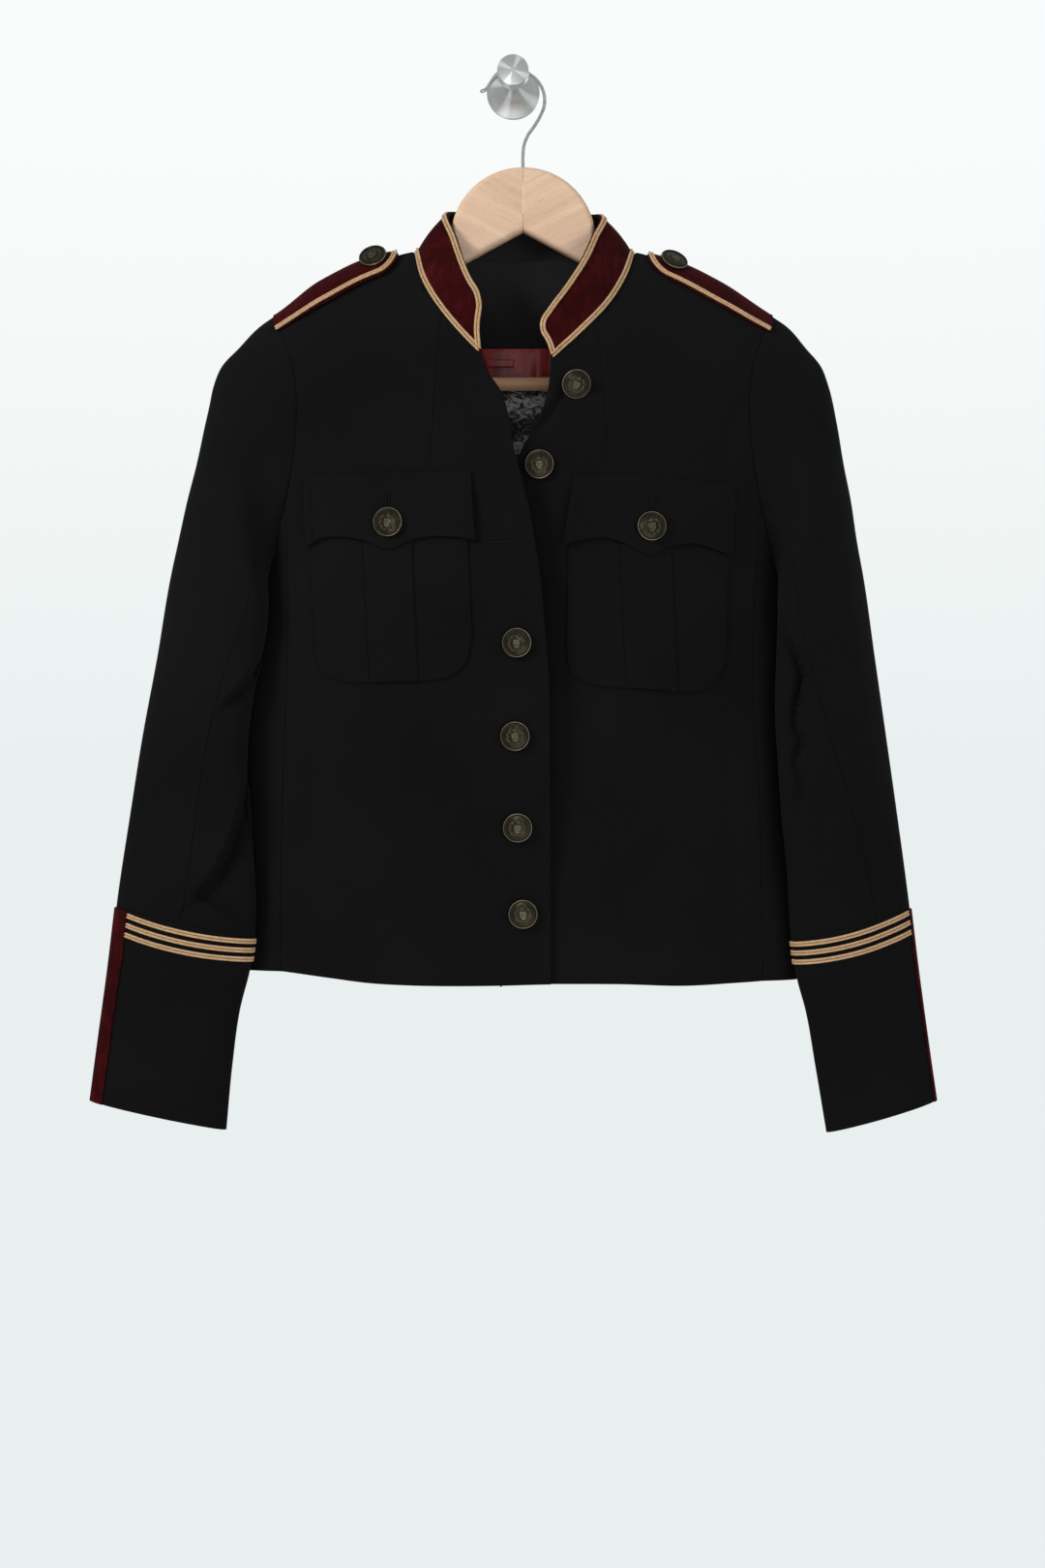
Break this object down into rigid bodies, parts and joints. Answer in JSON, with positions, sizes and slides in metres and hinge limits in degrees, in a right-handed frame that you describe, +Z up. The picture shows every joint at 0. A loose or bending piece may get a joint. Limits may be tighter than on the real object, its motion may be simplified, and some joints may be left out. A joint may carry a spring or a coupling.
{
  "type": "band jacket on a hanger with a wall peg",
  "caption": "Cropped black band jacket with a velvet stand collar, braid trim and metal buttons, hung on a wooden hanger from a turned wall peg.",
  "frame": {"origin": "centre of the wall peg's back face, on the wall that holds everything up", "axes": "+Z up, the garment faces -Y, +X to the wearer's left"},
  "size_m": [0.6342, 0.1072, 0.8102],
  "materials": {
    "black_twill": "matt black cotton twill",
    "burgundy_velvet": "burgundy velvet with a soft sheen",
    "gold_braid": "corded gold braid",
    "red_satin": "dark red satin lining",
    "woven_label": "black and grey woven label with a plain mottled pattern",
    "antique_brass": "darkened brass, worn bright on its rim and relief",
    "beech": "pale beech with a thin satin varnish",
    "hook_wire": "polished wire",
    "peg_steel": "turned and brushed stainless steel"
  },
  "bodies": {
    "root": {"front_right": "black_twill", "side_right": "black_twill", "topsleeve_right": "black_twill", "undersleeve_right": "black_twill", "cuff_right": "black_twill", "pocket_right": "black_twill", "pocket_flap_right": "black_twill", "cuff_velvet_right": "burgundy_velvet", "epaulette_right": "burgundy_velvet", "cuff_braid_1_right": "gold_braid", "cuff_braid_2_right": "gold_braid", "cuff_braid_3_right": "gold_braid", "epaulette_braid_right": "gold_braid", "button_flap_right": "antique_brass", "button_epaulette_right": "antique_brass", "hanger_arm_right": "beech", "front_left": "black_twill", "side_left": "black_twill", "topsleeve_left": "black_twill", "undersleeve_left": "black_twill", "cuff_left": "black_twill", "pocket_left": "black_twill", "pocket_flap_left": "black_twill", "cuff_velvet_left": "burgundy_velvet", "epaulette_left": "burgundy_velvet", "cuff_braid_1_left": "gold_braid", "cuff_braid_2_left": "gold_braid", "cuff_braid_3_left": "gold_braid", "epaulette_braid_left": "gold_braid", "button_flap_left": "antique_brass", "button_epaulette_left": "antique_brass", "hanger_arm_left": "beech", "back": "black_twill", "collar_inner": "black_twill", "back_neck_facing": "black_twill", "collar_outer": "burgundy_velvet", "collar_braid_edge": "gold_braid", "collar_braid_seam": "gold_braid", "back_lining": "red_satin", "hang_loop": "red_satin", "neck_label": "woven_label", "button_front_1": "antique_brass", "button_front_2": "antique_brass", "button_front_3": "antique_brass", "button_front_4": "antique_brass", "button_front_5": "antique_brass", "button_front_6": "antique_brass", "hanger_bar": "beech", "hanger_hook": "hook_wire", "wall_peg": "peg_steel"}
  },
  "joints": []
}
